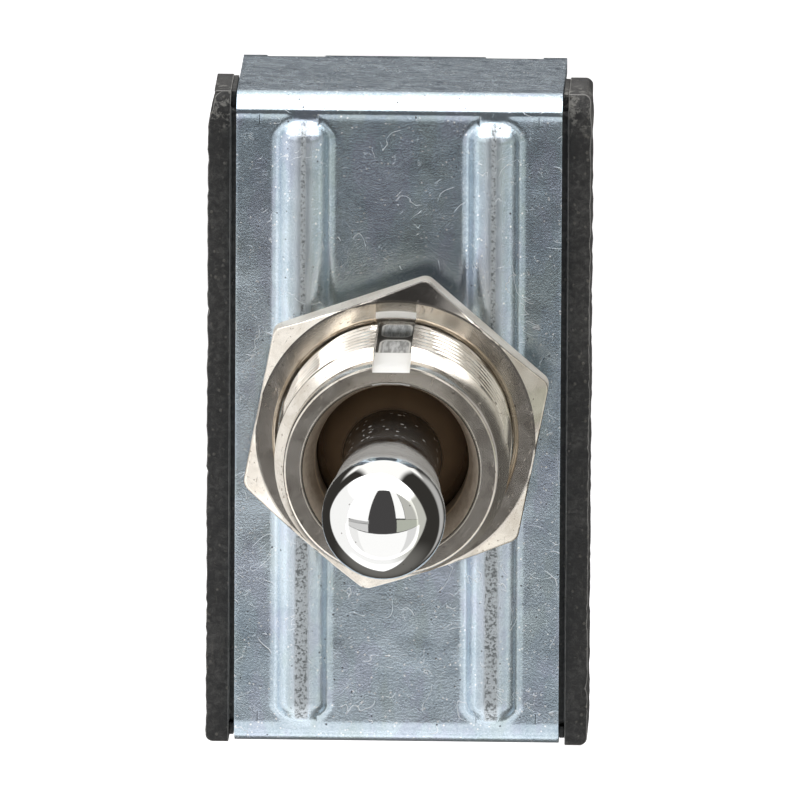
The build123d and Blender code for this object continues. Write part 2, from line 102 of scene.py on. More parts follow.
class Value:
    """One output socket in a material. Arithmetic on it adds Math nodes."""

    def __init__(self, tree, socket):
        self.tree, self.socket = tree, socket

    def node(self, kind, settings, inputs, output=0):
        """Any other node: its settings first, then a number, colour or link for each input."""
        made = self.tree.nodes.new("ShaderNode" + kind)
        for name, setting in settings.items():
            setattr(made, name, setting)
        fill(self.tree, made, inputs)
        shown = [s for s in made.outputs if s.enabled]
        return Value(self.tree, shown[output])

    def maths(self, operation, *others):
        """Any operation of the Math node."""
        return self.node("Math", {"operation": operation}, dict(enumerate((self, *others))))

    def __add__(self, other):
        return self.maths("ADD", other)

    def __sub__(self, other):
        return self.maths("SUBTRACT", other)

    def __rsub__(self, other):
        return self.maths("MULTIPLY", -1.0).maths("ADD", other)

    def __mul__(self, other):
        return self.maths("MULTIPLY", other)

    def __abs__(self):
        return self.maths("ABSOLUTE")

    __radd__, __rmul__ = __add__, __mul__

    def rise(self, low, high):
        """0 below `low`, 1 above `high`, smooth between them. Falls when low > high."""
        if low > high:
            return 1 - self.rise(high, low)
        ends = {"Value": self, "From Min": low, "From Max": high}
        return self.node("MapRange", {"interpolation_type": "SMOOTHSTEP"}, ends)

    def tint(self, low, high):
        """A colour that goes from `low` to `high` as this value goes from 0 to 1."""
        low, high = (c if isinstance(c, Value) else (*c, 1) for c in (low, high))
        return self.node("Mix", {"data_type": "RGBA"}, {"Factor": self, "A": low, "B": high})

    def noise(self, scale, detail=3.0, rough=0.55, warp=0.0):
        """Noise over this place, with `scale` features to the unit."""
        grain = {"Scale": scale, "Detail": detail, "Roughness": rough, "Distortion": warp}
        return self.node("TexNoise", {}, {"Vector": self, **grain})

    def cells(self, scale, feature="F1"):
        """Distance to the middle of the nearest cell, for specks and dents."""
        return self.node("TexVoronoi", {"feature": feature}, {"Vector": self, "Scale": scale})

    def turned(self, stretch=(1, 1, 1), turn=(0, 0, 0), shift=(0, 0, 0)):
        """This place turned, stretched and moved, for grain that runs one way."""
        settings = {"vector_type": "POINT"}
        spun = self.node("Mapping", settings, {"Vector": self, "Rotation": turn, "Location": shift})
        return spun.node("Mapping", settings, {"Vector": spun, "Scale": stretch})

    def parts(self):
        """The three numbers of a place."""
        return [self.node("SeparateXYZ", {}, {0: self}, output=i) for i in range(3)]


class Finish:
    """A material with one Principled shader, and the place on the piece in millimetres."""

    def __init__(self, name, **constants):
        self.material = bpy.data.materials.new(name)
        self.material.use_nodes = True
        self.tree = self.material.node_tree
        self.shader = self.tree.nodes["Principled BSDF"]
        for key, value in constants.items():
            self.shader.inputs[key.replace("_", " ")].default_value = value
        place = Value(self.tree, self.tree.nodes.new("ShaderNodeTexCoord").outputs["Object"])
        scaled = {"Vector": place, "Scale": 1 / MM}
        self.place = place.node("VectorMath", {"operation": "SCALE"}, scaled)

    def set(self, **links):
        """Links values to the shader's inputs."""
        for key, value in links.items():
            self.tree.links.new(value.socket, self.shader.inputs[key.replace("_", " ")])

    def bump(self, height, distance):
        """Relief: `distance` is how deep in millimetres a height of 1 is."""
        inputs = {"Height": height, "Strength": 1.0, "Distance": distance * MM}
        self.set(Normal=height.node("Bump", {}, inputs))


def build(name, points, faces, material):
    """A piece from points in millimetres."""
    mesh = bpy.data.meshes.new(name)
    mesh.from_pydata([(x * MM, y * MM, z * MM) for x, y, z in points], [], faces)
    mesh.materials.append(material)
    piece = bpy.data.objects.new(name, mesh)
    bpy.context.collection.objects.link(piece)
    return piece


def settle(piece):
    """Works the modifiers into the mesh."""
    graph = bpy.context.evaluated_depsgraph_get()
    mesh = bpy.data.meshes.new_from_object(piece.evaluated_get(graph), depsgraph=graph)
    piece.modifiers.clear()
    piece.data = mesh


@contextmanager
def mesh_of(piece):
    """The piece's mesh, open for editing."""
    shape = bmesh.new()
    shape.from_mesh(piece.data)
    yield shape
    shape.to_mesh(piece.data)
    shape.free()


def ease(piece, width, crease=50, segments=2, chosen=lambda edge: True):
    """Rounds edges that turn more than `crease` degrees, as tumbling and plating leave them."""
    with mesh_of(piece) as shape:
        sharp = [
            e for e in shape.edges
            if len(e.link_faces) == 2 and e.calc_face_angle() > radians(crease) and chosen(e)
        ]
        bmesh.ops.bevel(
            shape, geom=sharp, offset=width * MM, segments=segments, profile=0.5,
            affect="EDGES", clamp_overlap=True, material=-1,
        )


def smooth(piece, crease=32):
    """Smooth shading, with an edge where the faces turn more than `crease` degrees.

    The broad faces set the normals, so they stay flat up to their narrow rounded edges.
    """
    piece.data.shade_smooth()
    piece.data.set_sharp_from_angle(angle=radians(crease))
    broad = piece.modifiers.new("broad_faces", "WEIGHTED_NORMAL")
    broad.keep_sharp = True
    settle(piece)


zinc = Finish("zinc_plated_steel")
place = zinc.place
x, y, z = place.parts()
cloud = place.noise(0.14, 3, 0.6, 0.4)
blotch = place.noise(0.8, 5, 0.7, 0.6)
crystal = place.noise(8.5, 4, 0.75)
fleck = place.cells(3.6).rise(0.26, 0.12) * place.noise(1.3, 2).rise(0.46, 0.55)
pit = place.turned(shift=(7, 3, 1)).cells(1.5).rise(0.10, 0.05)
hair = abs(place.noise(0.35, 2, 0.5, 1.5) - 0.5).rise(0.008, 0.002)
hair = hair * place.turned(shift=(3, 9, 4)).noise(0.6, 2).rise(0.50, 0.60)
curl = abs(place.turned(shift=(5, 2, 8)).noise(0.9, 3, 0.5, 1.0) - 0.5).rise(0.014, 0.004)
curl = curl * place.turned(shift=(8, 4, 2)).noise(1.3, 2).rise(0.60, 0.67)
dent = place.turned(shift=(2, 6, 3)).cells(0.42, "SMOOTH_F1").rise(0.55, 0.15)
ear = z.rise(face - 0.9, face - 1.3)
drag = place.turned((0.45, 1, 1.3), (0, radians(14), 0)).noise(2.4, 6, 0.8, 1.4)
marks = (hair * 0.8 + curl * 0.5).rise(0, 1)
# passivated thinner toward the plain bend, and along one side
inner = abs(x).rise(8.0, 5.5)
paler = y.rise(7, -9) * (inner * 0.09 + 0.01)
paler = paler + x.rise(-2, -8) * y.rise(14, 2) * y.rise(-12, -4) * 0.30
tone = (blotch * 0.40 + cloud * 0.30 + crystal * 0.55 + paler).rise(0.38, 0.95)
plate = tone.tint((0.385, 0.485, 0.57), (0.74, 0.845, 0.92))
# the film is thick enough in places to look violet, or green
chromate = place.turned((1, 0.4, 1)).noise(0.5, 3, 0.6)
plate = (chromate.rise(0.52, 0.62) * 0.32).tint(plate, (0.58, 0.59, 0.76))
plate = (chromate.rise(0.48, 0.38) * 0.32).tint(plate, (0.55, 0.65, 0.62))
plate = marks.tint(plate, (0.84, 0.88, 0.92))
plate = fleck.tint(plate, (0.92, 0.95, 0.97))
plate = pit.tint(plate, (0.12, 0.13, 0.15))
# the ears, dragged down through the die, are streaked
rubbed = (drag * 0.8 + crystal * 0.2).rise(0.36, 0.64)
rubbed = rubbed.tint((0.16, 0.20, 0.26), (0.62, 0.71, 0.78))
plate = ear.tint(plate, (fleck * 0.9).tint(rubbed, (0.95, 0.96, 0.97)))
# the die has rubbed the plating thin along the ribs' crowns, and scuffed them at this end
off_crown = abs(abs(x) - rib_x)
crown = off_crown.rise(0.75, 0.2) * z.rise(face + 0.5, face + 0.7)
scuff_half = y.rise(-2.0, -7.5) * 0.20 + 0.11
scuffed = (off_crown - scuff_half).rise(0.09, -0.05) * z.rise(face + 0.2, face + 0.4)
scuff = place.noise(7.5, 2, 0.6).rise(0.46, 0.62) * scuffed
plate = (crown * 0.6).tint(plate, (0.74, 0.80, 0.86))
plate = scuffed.tint(plate, scuff.tint((0.62, 0.67, 0.71), (0.20, 0.22, 0.23)))
zinc.set(
    Base_Color=plate,
    Roughness=blotch * 0.14 + marks * 0.15 + ear * 0.10 + scuffed * 0.12 + 0.085,
    Metallic=0.85 - crown * 0.18 - scuffed * 0.25,
)
relief = crystal * 0.55 + blotch * 0.25 - marks * 0.4 - pit * 0.5
zinc.bump(relief + dent * 0.8 + ear * drag - scuff * 0.6, distance=0.018)


def rib_lift(x, y):
    """How far the embossed ribs stand above the strip's face."""
    crown = rib_radius - rib_height
    along = max(0, abs(y) - (rib_half_length - rib_end_run))
    eased = rib_end_radius * sin(rib_end_ramp)
    if along < eased:
        left = rib_height - rib_end_radius + sqrt(rib_end_radius**2 - along**2)
    else:
        left = rib_height - rib_end_radius * (1 - cos(rib_end_ramp))
        left -= (along - eased) * tan(rib_end_ramp)
    # the ramp as a distance from the axis of the half-round section
    past = max(0, -left) / tan(rib_end_ramp)
    along = sqrt(rib_radius**2 - (crown + max(0, left)) ** 2) + past
    aside = abs(abs(x) - rib_x)
    away = (aside**rib_end_fullness + along**rib_end_fullness) ** (1 / rib_end_fullness)
    endward = along / max(away, touch)
    fillet = rib_fillet + (rib_end_fillet - rib_fillet) * endward**2
    valley = sqrt((rib_radius + fillet) ** 2 - (fillet + crown) ** 2)
    if away < valley * rib_radius / (rib_radius + fillet):
        return sqrt(rib_radius**2 - away**2) - crown
    if away < valley:
        return fillet - sqrt(fillet**2 - (valley - away) ** 2)
    return 0.0


def bent(way, share):
    """A share of the way round a bend: how far in from the ear, how far down, and the turn."""
    if way < 0:
        turn = share * pi / 2
        return bend_radius * (1 - sin(turn)), bend_radius * (1 - cos(turn)), turn
    arcs = [(radians(a), radians(b), r) for (a, _), (b, r) in zip(((0, 0),) + set_bend, set_bend)]
    ahead = sum((b - a) * r for a, b, r in arcs) * share
    inset = sum(r * (sin(b) - sin(a)) for a, b, r in arcs)
    drop = turn = 0
    for start, end, radius in arcs:
        turn = min(end, start + max(0, ahead) / radius)
        ahead -= (end - start) * radius
        inset -= radius * (sin(turn) - sin(start))
        drop += radius * (cos(start) - cos(turn))
        if ahead <= 0:
            break
    return inset, drop, turn


def crease_lift(way, past):
    """How far the crease across the strip stands up, `past` the start of the back bend."""
    return crease_height * exp(-(((past - crease_shift) / crease_width) ** 2)) if way > 0 else 0


def on_strip(x, run):
    """Outer face of the strip: `run` is measured along it from the middle."""
    way, along = copysign(1, run), abs(run)
    half = strip_length / 2
    ends_flat = half - bent(way, 0)[0]
    if along <= flat_half:
        along *= ends_flat / flat_half
        return x, way * along, face + rib_lift(x, along) + crease_lift(way, along - ends_flat)
    if along < flat_half + bend_run:
        inset, drop, turn = bent(way, (along - flat_half) / bend_run)
        lift = rib_lift(x, ends_flat + along - flat_half) + crease_lift(way, along - flat_half)
        return x, way * (half - inset + lift * sin(turn)), face - drop + lift * cos(turn)
    down = along - flat_half - bend_run
    ear_top = face - bent(way, 1)[1]
    z = ear_top - down * (ear_top - ear_end) / ear_run
    return x, way * (half - max(0, down - ear_run)), max(z, ear_end)


def spaced(start, end, gap):
    """Even steps from start up to end, leaving out the end."""
    count = max(1, ceil((end - start) / gap - 1e-6))
    return [start + (end - start) * i / count for i in range(count)]


# the mesh is fine on the ribs' flanks, where they end, and round the bends
mesh_step = 0.26
rib_steps = [0, 0.2, 0.4, 0.6, 0.78, 0.94, 1.07, 1.17, 1.24]
rib_steps += [1.3, 1.36, 1.42, 1.48, 1.55, 1.62, 1.69, 1.76, 1.82]
rib_edge = rib_steps[-1]
between = spaced(mesh_step / 2, rib_x - rib_edge, mesh_step)
beside = spaced(rib_x + rib_edge, strip_width / 2, mesh_step)
columns = sorted(
    {round(rib_x + way * step, 4) for step in rib_steps for way in (1, -1)}
    | {round(x, 4) for x in between + beside}
    | {lip_x - lip_width / 2, lip_x + lip_width / 2, strip_width / 2}
)
columns = [-x for x in reversed(columns)] + columns
past_bore, rib_end_from, bend_from = 6.6, 13.2, flat_half - 0.5
rows = (
    spaced(0, past_bore, mesh_step)
    + spaced(past_bore, rib_end_from, 0.55)
    + spaced(rib_end_from, bend_from, 0.1)
    + spaced(bend_from, flat_half, 0.05)
    + spaced(flat_half, flat_half + bend_run, 0.09)
    + spaced(flat_half + bend_run, flat_half + bend_run + ear_run, 0.7)
    + [flat_half + bend_run + ear_run]
)
lip_rows = [rows[-1], rows[-1] + lip_reach / 2, rows[-1] + lip_reach]

points, index, cells = [], {}, []


def corner(place):
    """The number of the point at a place, which is made once."""
    key = tuple(round(c, 4) for c in place)
    if key not in index:
        index[key] = len(points)
        points.append(place)
    return index[key]


half_step = mesh_step / 2
rim_catch = 0.19  # a point this near the bore's rim moves onto it
least_turn = 0.002  # a cell with a flatter corner is a sliver
front_rows = [-s for s in reversed(rows[1:])]
front_lips = [-s for s in reversed(lip_rows)]
for lipped, stations in ((False, front_rows + rows), (True, lip_rows), (True, front_lips)):
    for low, high in zip(stations, stations[1:]):
        for left, right in zip(columns, columns[1:]):
            if lipped and abs(abs(left + right) / 2 - lip_x) > lip_width / 2:
                continue
            if hypot((left + right) / 2, (low + high) / 2) < bore_in_strip:
                continue
            flat = []
            for x, run in ((left, low), (right, low), (right, high), (left, high)):
                inside = any(
                    hypot(x + dx, run + dy) < bore_in_strip
                    for dx in (-half_step, half_step)
                    for dy in (-half_step, half_step)
                )
                if inside and abs(hypot(x, run) - bore_in_strip) < rim_catch:
                    scale = bore_in_strip / hypot(x, run)
                    x, run = x * scale, run * scale
                flat.append(Vector((x, run)))
            turns = [(flat[i] - flat[i - 1]).cross(flat[(i + 1) % 4] - flat[i]) for i in range(4)]
            if min(turns) > least_turn:
                cells.append([corner(on_strip(x, run)) for x, run in flat])

bracket = build("steel_bracket", points, cells, zinc.material)
plies = bracket.modifiers.new("thickness", "SOLIDIFY")
plies.thickness = strip_thickness * MM
plies.offset = -1
plies.use_even_offset = True
settle(bracket)


def at_lip(edge):
    """Whether an edge is the fold of a lip."""
    return all(
        v.co.z < (ear_end + touch) * MM
        and abs(v.co.y) > (strip_length / 2 - touch) * MM
        and abs(abs(v.co.x) - lip_x * MM) < (lip_width / 2 + touch) * MM
        for v in edge.verts
    )


def off_bore(edge):
    """Whether an edge lies clear of the bore, which the bushing hides."""
    middle = (edge.verts[0].co + edge.verts[1].co) / 2
    return hypot(*middle.xy) > (bore_in_strip + 0.5) * MM


ease(bracket, lip_bend, crease=80, segments=4, chosen=at_lip)
ease(bracket, 0.07, chosen=off_bore)
smooth(bracket)
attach(bracket, "housing")
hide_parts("bracket")

# ======== bushing
# Turned from brass bar, threaded 15/32-32 outside, with a keyway milled down one side and a coned
# mouth for the lever. Nickel plated. Its foot lies under the bracket, which it holds to the case.

thread_radius = 5.953
thread_pitch = 25.4 / 32
thread_depth = 0.40
thread_top = 33.7
thread_steps = 12  # levels in each pitch
crest_share, flank_share = 0.14, 0.72
run_out, run_in = 0.5, 0.3  # heights over which the thread goes and comes
pilot_radius = 5.43
rim_radius = 5.35
rim_top = 35.9
mouth_radius = 4.49
mouth_round = 0.11
lip_radius = 3.9
lip_top = 33.3
seat_radius = 4.3
pivot = 29.2
foot_radius = 7.3
foot_bottom, foot_top = 22.2, 23.2
keyway_half = 0.975
keyway_floor = 5.08
round_steps = 176  # points round each level, besides the keyway's


def nickelled(name, gloss):
    """Nickel plate over turned brass; `gloss` is its roughness where it is cleanest."""
    made = Finish(name, Metallic=0.9)
    place = made.place
    haze = place.noise(0.7, 4, 0.6, 0.5)
    grain = place.turned((1, 1, 0.25)).noise(7.0, 3, 0.65)
    fleck = place.noise(5.5, 2, 0.5).rise(0.66, 0.74)
    brushed = place.turned((3.6, 0.5, 3.6), (0, radians(38), radians(22))).noise(1.6, 4, 0.7)
    nick = brushed.rise(0.60, 0.70) * place.noise(1.4, 2).rise(0.42, 0.6)
    plate = haze.rise(0.3, 0.7).tint((0.70, 0.64, 0.56), (0.85, 0.80, 0.725))
    plate = nick.tint(plate, (0.48, 0.42, 0.35))
    made.plate = fleck.tint(plate, (0.38, 0.33, 0.28))
    made.set(Base_Color=made.plate, Roughness=haze * 0.12 + nick * 0.14 + gloss)
    made.bump(grain * 0.10 + nick * 0.5 + haze * 0.4, distance=0.008)
    return made


nickel = nickelled("nickel_plate", 0.11)

# inside the mouth the plating is thin, and old grease has browned it
stained = Finish("stained_bore", Metallic=0.25)
place = stained.place
x, y, z = place.parts()
haze = place.noise(0.6, 4, 0.65, 0.6)
drip = place.turned((1, 1, 0.4)).noise(2.6, 4, 0.7)
tone = (haze * 0.7 + drip * 0.4).rise(0.35, 0.75).tint((0.50, 0.40, 0.30), (0.84, 0.73, 0.60))
# a thin pale band round the lip's edge is a painted highlight, where the edge would catch the light
painted_lip_highlight = z.rise(lip_top - 0.14, lip_top - 0.05) * z.rise(lip_top + 0.26, lip_top + 0.16)
tone = (painted_lip_highlight * 0.9).tint(tone, (1.0, 0.84, 0.64))
stained.set(Base_Color=tone, Roughness=haze * 0.25 + 0.22)
stained.bump(drip + haze, distance=0.015)

# the cutter leaves the keyway's floor bright; on its lower end a round-ended outline with a grey
# middle and a light rim is a painted reflection
capsule_reflection_z, capsule_reflection_half_height, capsule_reflection_half_width = 25.6, 0.9, 0.35
block_foot, block_top, block_half_width = 28.9, 31.0, 0.42
milled = Finish("milled_keyway", Metallic=0.1)
place = milled.place
x, y, z = place.parts()
tooth = place.turned((0.4, 1, 6.0)).noise(1.5, 3, 0.6)
off_capsule_reflection = (abs(x) - capsule_reflection_half_width).maths("MAXIMUM", 0)
high = (abs(z - capsule_reflection_z) - capsule_reflection_half_height).maths("MAXIMUM", 0)
off_capsule_reflection = (off_capsule_reflection * off_capsule_reflection + high * high * 0.35).maths("SQRT")
painted_reflection_rim = off_capsule_reflection.rise(0.30, 0.36) * off_capsule_reflection.rise(0.47, 0.41)
# and below block_top its floor is painted dark as shade, round a grey patch drawn with streaks and
# a lighter edge
across = (abs(x) - block_half_width).maths("MAXIMUM", 0)
below = (block_foot - z).maths("MAXIMUM", 0)
off_block = (across * across + below * below * 0.12).maths("SQRT")
# painted shade: below block_top the floor is painted dark, and the tone set below steps up to light
# above it
shaded = z.rise(block_top + 0.1, block_top - 0.1)
block = off_block.rise(0.40, 0.36) * shaded
block_edge = block * off_block.rise(0.26, 0.30)
stroke = place.turned((3.2, 1, 0.35)).noise(1.6, 3, 0.7)
worn = (tooth * 0.5 + z.rise(30.8, 31.3)).rise(0.3, 0.9)
tone = worn.tint((0.27, 0.25, 0.22), (1.0, 0.99, 0.96))
tone = shaded.tint(tone, (0.06, 0.055, 0.05))
tone = block.tint(tone, stroke.rise(0.35, 0.65).tint((0.24, 0.24, 0.235), (0.62, 0.62, 0.61)))
tone = block_edge.tint(tone, (0.72, 0.71, 0.68))
# the capsule's grey middle and its light rim are a painted reflection
inside = off_capsule_reflection.rise(0.38, 0.32)
tone = inside.tint(tone, stroke.rise(0.38, 0.62).tint((0.30, 0.31, 0.31), (0.66, 0.67, 0.67)))
tone = painted_reflection_rim.tint(tone, (0.86, 0.85, 0.82))
milled.set(Base_Color=tone, Roughness=tooth * 0.2 + 0.25)
milled.bump(tooth + painted_reflection_rim, distance=0.012)


def thread_radius_at(z, angle):
    """A 60 degree thread with flat crests and roots, that runs out at its top end."""
    phase = (z / thread_pitch - angle / (2 * pi)) % 1
    cut = min(1, max(0, (abs(2 * phase - 1) - crest_share) / flank_share))
    fade = min(1, max(0, (thread_top - 0.1 - z) / run_out))
    fade *= min(1, max(0, (z - foot_top) / run_in))
    return thread_radius - thread_depth * cut * fade


levels = [(foot_radius - 0.1, foot_bottom), (foot_radius, foot_bottom + 0.1)]
levels += [(foot_radius, foot_top - 0.1), (foot_radius - 0.1, foot_top)]
count = ceil((thread_top - foot_top) / thread_pitch * thread_steps)
levels += [(None, foot_top + (thread_top - foot_top) * i / count) for i in range(count + 1)]
pilot_foot = thread_top + thread_radius - pilot_radius
pilot_top = rim_top - (pilot_radius - rim_radius)
levels += [
    (pilot_radius + 0.05, pilot_foot - 0.04),
    (pilot_radius, pilot_foot + 0.05),
    (pilot_radius, pilot_top - 0.06),
    (pilot_radius - 0.04, pilot_top + 0.03),
    (rim_radius + 0.04, rim_top - 0.05),
    (rim_radius - 0.04, rim_top),
    (rim_radius - 0.08, rim_top),
]
outside = len(levels)  # the keyway cuts none of the levels after these
levels += [(mouth_radius + mouth_round + 0.04, rim_top)]
levels += [
    (mouth_radius + mouth_round * (1 - sin(t)), rim_top - mouth_round * (1 - cos(t)))
    for t in (0, pi / 8, pi / 4, pi * 3 / 8)
]
levels += [
    (lip_radius + (mouth_radius - lip_radius) * t, lip_top + (rim_top - lip_top) * t)
    for t in (0.94, 0.7, 0.4, 0.04)
]
seat_turn = acos(lip_radius / seat_radius)
levels += [(lip_radius, lip_top - 0.1), (lip_radius, pivot + seat_radius * sin(seat_turn) + 0.05)]
levels += [
    (seat_radius * cos(seat_turn * t), pivot + seat_radius * sin(seat_turn * t))
    for t in (0.95, 0.75, 0.5, 0.25, 0)
]
levels += [(seat_radius, foot_bottom + 0.1), (seat_radius + 0.1, foot_bottom)]

points, cells = [], []
for number, (radius, height) in enumerate(levels):
    typical = radius or thread_radius
    gap = atan2(keyway_half, typical)
    keyed = face < height and number < outside
    for i in range(round_steps + 1):
        angle = pi / 2 + gap + (2 * pi - 2 * gap) * i / round_steps
        reach = radius or thread_radius_at(height, angle)
        points.append((reach * cos(angle), reach * sin(angle), height))
    for across in (0.97, 0.5, -0.5, -0.97):
        side = keyway_half * across
        on_round = sqrt(typical**2 - side**2)
        points.append((side, min(on_round, keyway_floor) if keyed else on_round, height))
ring = round_steps + 5
for level in range(len(levels)):
    above = (level + 1) % len(levels)
    for i in range(ring):
        j = (i + 1) % ring
        cells.append((level * ring + i, level * ring + j, above * ring + j, above * ring + i))

bushing = build("threaded_bushing", points, cells, nickel.material)
bushing.data.materials.append(stained.material)
bushing.data.materials.append(milled.material)
hair_gap = 0.02
for cell in bushing.data.polygons:
    x, y, z = cell.center / MM
    in_keyway = abs(x) < keyway_half * 0.98 and 0 < y < keyway_floor + hair_gap
    if z > foot_top and hypot(x, y) < mouth_radius - hair_gap:
        cell.material_index = 1
    elif face < z < rim_top - hair_gap and in_keyway:
        cell.material_index = 2
smooth(bushing, 24)
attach(bushing, "housing")
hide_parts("bushing")

# ======== mounting nut
# A thin hexagon nut, 9/16 in across flats, parted from hexagon bar. Its corners are chamfered on
# the outer side and its bore is countersunk. Nickel plated like the bushing that it runs on.

nut_bottom, nut_top = 25.8, 27.8
nut_flat = 14.29 / 2
nut_turn = radians(19.1)
nut_bore = 6.003
nut_mouth, nut_mouth_depth = 0.25, 0.25
nut_chamfer_radius, nut_chamfer_slope = 7.1, tan(radians(30))
nut_corner_round = 0.6
nut_steps = 720


def hexagon_reach(angle, inset=0.0):
    """Distance from the axis to the rounded hexagon, with a corner at nut_turn."""
    off_flat = abs((angle - nut_turn) % (pi / 3) - pi / 6)
    reach = (nut_flat - inset) / cos(off_flat)
    centre = (nut_flat - nut_corner_round) / cos(pi / 6)
    off_corner = pi / 6 - off_flat
    curve = nut_corner_round - inset
    if reach * sin(off_corner) < curve / 2:
        reach = centre * cos(off_corner) + sqrt(curve**2 - (centre * sin(off_corner)) ** 2)
    return reach


points, cells = [], []
inner = nut_bore + nut_mouth
for i in range(nut_steps):
    angle = 2 * pi * i / nut_steps
    reach = hexagon_reach(angle)
    drop = max(0.03, (reach - nut_chamfer_radius) * nut_chamfer_slope)
    cone_foot = (
        hexagon_reach(angle, 0.06), nut_top - max(0.015, drop - 0.05 * nut_chamfer_slope)
    )
    cone_head = (min(nut_chamfer_radius + 0.03, reach - 0.07), nut_top - 0.012)
    outline = [
        (nut_bore, nut_bottom + nut_mouth_depth),
        (inner, nut_bottom),
        (hexagon_reach(angle, 0.07), nut_bottom),
        (hexagon_reach(angle, 0.02), nut_bottom + 0.02),
        (reach, nut_bottom + 0.07),
        (reach, nut_top - drop - 0.05),
        (hexagon_reach(angle, 0.02), nut_top - drop - 0.01),
        cone_foot,
        # two rings close to its ends keep the cone's shading straight
        *[tuple(a + (b - a) * t for a, b in zip(cone_foot, cone_head)) for t in (0.1, 0.9)],
        cone_head,
        (min(nut_chamfer_radius - 0.05, reach - 0.09), nut_top),
        (min(nut_chamfer_radius - 0.10, reach - 0.13), nut_top),
        (inner + 0.08, nut_top),
        (inner + 0.03, nut_top),
        (inner - 0.03, nut_top - 0.03),
        (nut_bore, nut_top - nut_mouth_depth),
    ]
    points += [(r * cos(angle), r * sin(angle), height) for r, height in outline]
side = len(outline)
for i in range(nut_steps):
    here, there = i * side, (i + 1) % nut_steps * side
    for level in range(side):
        above = (level + 1) % side
        cells.append((here + level, there + level, there + above, here + above))

# by the keyway a white bar on the edge of the nut's bore is a painted highlight, and the dark
# behind it and on the chamfer above the keyway are painted dark reflections
nut_plate = nickelled("nut_plate", 0.09)
x, y, z = nut_plate.place.parts()
radius = (x * x + y * y).maths("SQRT")
behind = abs(x).rise(1.06, 1.0) * y.rise(3, 4)
behind = behind * z.rise(nut_top - 0.4, nut_top - 0.3)
painted_bar_highlight = behind * radius.rise(6.60, 6.55) * radius.rise(6.20, 6.23)
painted_dark_behind_bar = behind * radius.rise(6.55, 6.60) * radius.rise(7.16, 7.06)
painted_dark_on_chamfer = radius.rise(nut_chamfer_radius, nut_chamfer_radius + 0.05) * y.rise(6.2, 6.6)
plate = (painted_dark_behind_bar * 0.9).tint(nut_plate.plate, (0.38, 0.35, 0.30))
plate = (painted_dark_on_chamfer * 0.9).tint(plate, (0.17, 0.16, 0.15))
plate = painted_bar_highlight.tint(plate, (1.0, 0.99, 0.96))
nut_plate.set(Base_Color=plate, Metallic=0.9 - painted_bar_highlight * 0.8)
# its flats keep the duller skin of the drawn bar
drawn_flats = nickelled("drawn_flats", 0.42)
drawn_flats.shader.inputs["Metallic"].default_value = 0.5

nut = build("hexagon_nut", points, cells, nut_plate.material)
nut.data.materials.append(drawn_flats.material)
for cell in nut.data.polygons:
    if abs(cell.normal.z) < 0.3 and cell.center.xy.length > (nut_bore + 0.5) * MM:
        cell.material_index = 1
smooth(nut, 20)
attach(nut, "nut")
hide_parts("mounting_nut")

# ======== toggle lever
# Turned from brass rod in one piece: the ball that swings in the bushing, a waist, and the bat with
# its full round end. Buffed and chromium plated. Grease from the bushing clings round the ball.

ball_radius = 4.25
neck_radius = 2.5
neck_round = 0.5
waist_radius = 2.33
waist_z = 35.0
waist_sweep = 3.2  # half the height over which the neck runs into the bat
bat_radius = 3.05
bat_z = 47.2
tail_radius = 1.8
tail_end, tail_round = 15.45, 0.3
shoulder_depth, shoulder_turn = 3.0, radians(20)
lathe_steps = 224
ball_steps, neck_steps, flare_steps, end_steps, shoulder_steps = 40, 8, 60, 32, 24

chrome = Finish("chromium_plate", Metallic=1.0)
place = chrome.place
x, y, z = place.parts()
smudge = place.noise(0.45, 4, 0.6, 0.8).rise(0.45, 0.75)
wipe = place.turned((1, 1, 0.2)).noise(2.4, 4, 0.65).rise(0.55, 0.8)
speck = place.cells(1.3).rise(0.07, 0.03)
ball = z.rise(33.2, 32.5)
neck = z.rise(47.4, 46.5) * z.rise(39.5, 44.0)
grease = z.rise(41.5, 37.5) * z.rise(32.6, 32.9)
film = (place.noise(0.8, 4, 0.6, 0.8) * 0.6 + neck * 0.95 - 0.3).rise(0.15, 0.9)
bead = place.cells(1.7).rise(0.22, 0.14) * z.rise(39.6, 38.6) * z.rise(33.0, 33.3)
bead = bead * place.noise(1.1, 2).rise(0.44, 0.50)
plate = film.tint((0.92, 0.92, 0.905), (0.46, 0.45, 0.43))
plate = ball.tint(plate, (0.40, 0.31, 0.22))
plate = (grease * 0.93).tint(plate, (0.085, 0.082, 0.075))
plate = bead.tint(plate, (0.98, 0.97, 0.93))
plate = speck.tint(plate, (0.35, 0.34, 0.32))
chrome.set(
    Base_Color=plate,
    Roughness=smudge * 0.05 + wipe * 0.03 + film * 0.18 + ball * 0.12 - bead * 0.15 + 0.035,
    Metallic=1 - film * 0.7 - ball * 0.3 - grease * 0.2 - bead * 0.3,
)
chrome.bump(film * place.noise(2.2, 3, 0.6) + bead * 1.2, distance=0.06)


def lathe(name, outline, material, steps):
    """Turns an outline of (radius, height), bottom to top. A radius of 0 closes an end."""
    points, cells, starts = [], [], []
    for radius, height in outline:
        starts.append(len(points))
        if radius == 0:
            points.append((0, 0, height))
            continue
        for i in range(steps):
            angle = 2 * pi * i / steps
            points.append((radius * cos(angle), radius * sin(angle), height))
    for (low_r, _), (high_r, _), low, high in zip(outline, outline[1:], starts, starts[1:]):
        for i in range(steps):
            j = (i + 1) % steps
            if low_r == 0:
                cells.append((low, high + j, high + i))
            elif high_r == 0:
                cells.append((low + i, low + j, high))
            else:
                cells.append((low + i, low + j, high + j, high + i))
    return build(name, points, cells, material)


